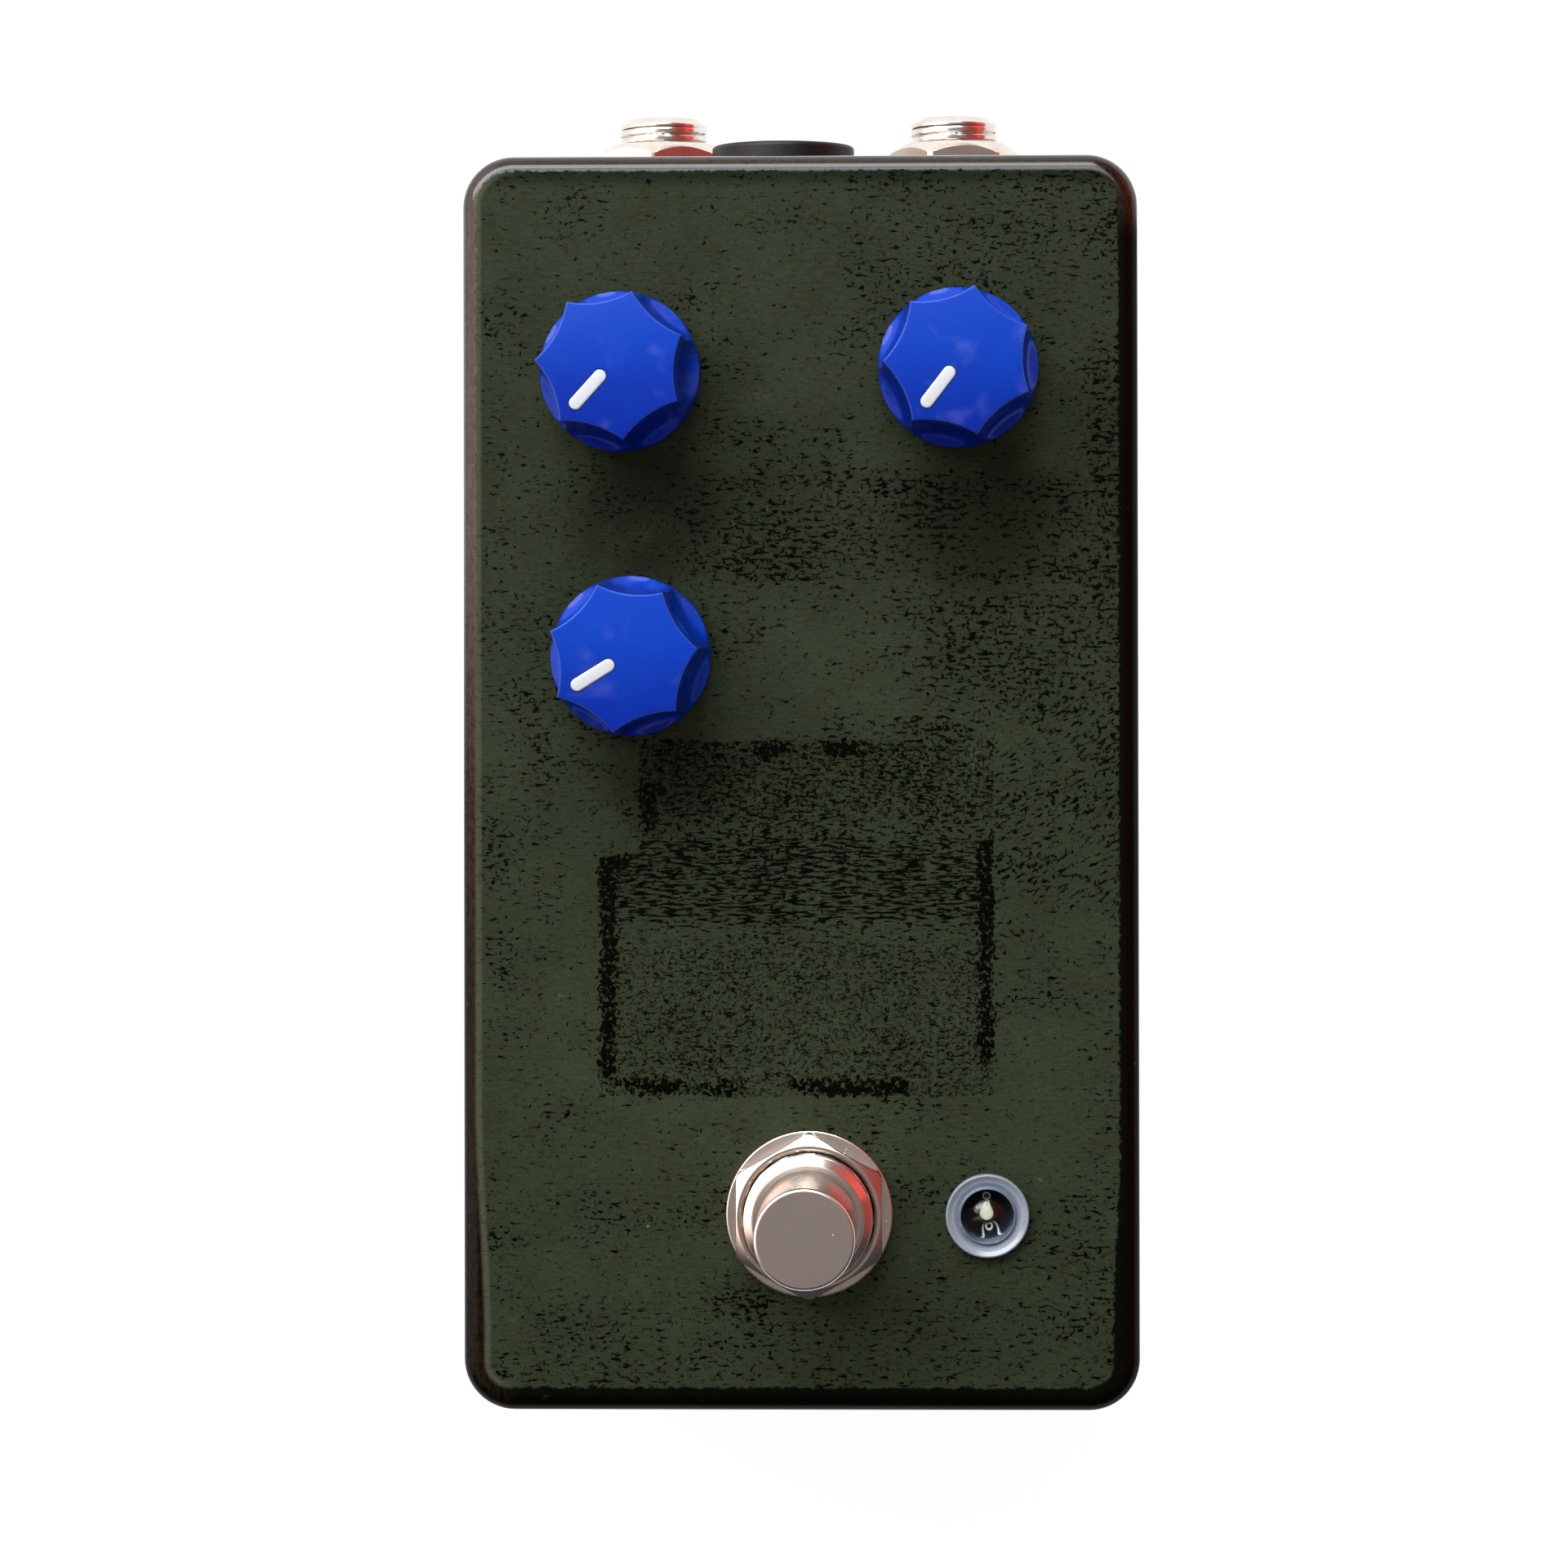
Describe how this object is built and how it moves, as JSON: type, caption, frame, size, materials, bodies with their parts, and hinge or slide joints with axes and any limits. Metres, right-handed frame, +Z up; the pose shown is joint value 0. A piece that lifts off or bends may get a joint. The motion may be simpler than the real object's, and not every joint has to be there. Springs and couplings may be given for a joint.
{
  "type": "guitar effects pedal",
  "caption": "Stomp-box effects pedal: drafted die-cast box with fluted knobs, a foot switch and an indicator lamp on top, and audio and power jacks in the back wall.",
  "frame": {"origin": "on the floor under the middle of the whole footprint, jacks included", "axes": "+Z up out of the control panel, +Y towards the wall with the jacks, +X to the player's right"},
  "size_m": [0.066, 0.126, 0.0571],
  "materials": {
    "box_paint": "hand-rubbed dark olive over black, satin",
    "knob_plastic": "gloss royal blue",
    "pointer_plastic": "white inlay",
    "nickel": "nickel plate",
    "steel": "zinc plated steel",
    "foot_rubber": "matt",
    "switch_plastic": "moulded, matt",
    "jack_plastic": "moulded, satin black",
    "bezel_plastic": "frosted, translucent",
    "lamp_resin": "water-clear resin",
    "phenolic": "brown phenolic sheet",
    "board_laminate": "green solder mask",
    "lead_white": "insulated wire",
    "lead_red": "insulated wire",
    "ribbon_grey": "flat cable"
  },
  "bodies": {
    "housing": {"enclosure": "box_paint", "back_cover": "box_paint", "cover_screw_front_left": "steel", "cover_screw_front_right": "steel", "cover_screw_back_left": "steel", "cover_screw_back_right": "steel", "rubber_foot_front_left": "foot_rubber", "rubber_foot_front_right": "foot_rubber", "rubber_foot_back_left": "foot_rubber", "rubber_foot_back_right": "foot_rubber", "pot_sleeve_upper_left": "nickel", "pot_sleeve_upper_right": "nickel", "pot_sleeve_lower_left": "nickel", "pot_nut_upper_left": "nickel", "pot_nut_upper_right": "nickel", "pot_nut_lower_left": "nickel", "pot_wafer_upper_left": "phenolic", "pot_wafer_upper_right": "phenolic", "pot_wafer_lower_left": "phenolic", "pot_cover_upper_left": "steel", "pot_cover_upper_right": "steel", "pot_cover_lower_left": "steel", "switch_sleeve": "nickel", "switch_washer": "nickel", "switch_nut": "nickel", "switch_lock_nut": "nickel", "switch_spring": "steel", "switch_case": "switch_plastic", "switch_board": "board_laminate", "led": "lamp_resin", "led_bezel": "bezel_plastic", "input_jack_sleeve": "nickel", "input_jack_nut": "nickel", "input_jack_contact": "nickel", "input_jack_insulator": "phenolic", "output_jack_sleeve": "nickel", "output_jack_nut": "nickel", "output_jack_contact": "nickel", "output_jack_insulator": "phenolic", "power_jack_body": "jack_plastic", "power_jack_pin": "nickel", "power_jack_nut": "jack_plastic", "circuit_board": "board_laminate", "input_lead": "lead_white", "output_lead": "lead_white", "power_lead": "lead_red", "switch_ribbon": "ribbon_grey"},
    "control_upper_left": {"knob_upper_left": "knob_plastic", "pointer_upper_left": "pointer_plastic", "set_screw_upper_left": "steel", "pot_shaft_upper_left": "nickel"},
    "control_upper_right": {"knob_upper_right": "knob_plastic", "pointer_upper_right": "pointer_plastic", "set_screw_upper_right": "steel", "pot_shaft_upper_right": "nickel"},
    "control_lower_left": {"knob_lower_left": "knob_plastic", "pointer_lower_left": "pointer_plastic", "set_screw_lower_left": "steel", "pot_shaft_lower_left": "nickel"},
    "button": {"switch_button": "nickel"}
  },
  "joints": [
    {"name": "knob_upper_left_turn", "type": "hinge", "parent": "housing", "child": "control_upper_left", "pos_m": [-0.01667, 0.03576, 0.0421], "axis": [0, 0, 1], "range_deg": [-288, 12]},
    {"name": "knob_upper_right_turn", "type": "hinge", "parent": "housing", "child": "control_upper_right", "pos_m": [0.01487, 0.03605, 0.0421], "axis": [0, 0, 1], "range_deg": [-292.4, 7.6]},
    {"name": "knob_lower_left_turn", "type": "hinge", "parent": "housing", "child": "control_lower_left", "pos_m": [-0.01569, 0.00924, 0.0421], "axis": [0, 0, 1], "range_deg": [-271.8, 28.2]},
    {"name": "button_press", "type": "slide", "parent": "housing", "child": "button", "axis": [0, 0, -1], "range_m": [0, 0.003], "stiffness_N_per_m": 3000, "deforming": ["switch_spring"]}
  ]
}
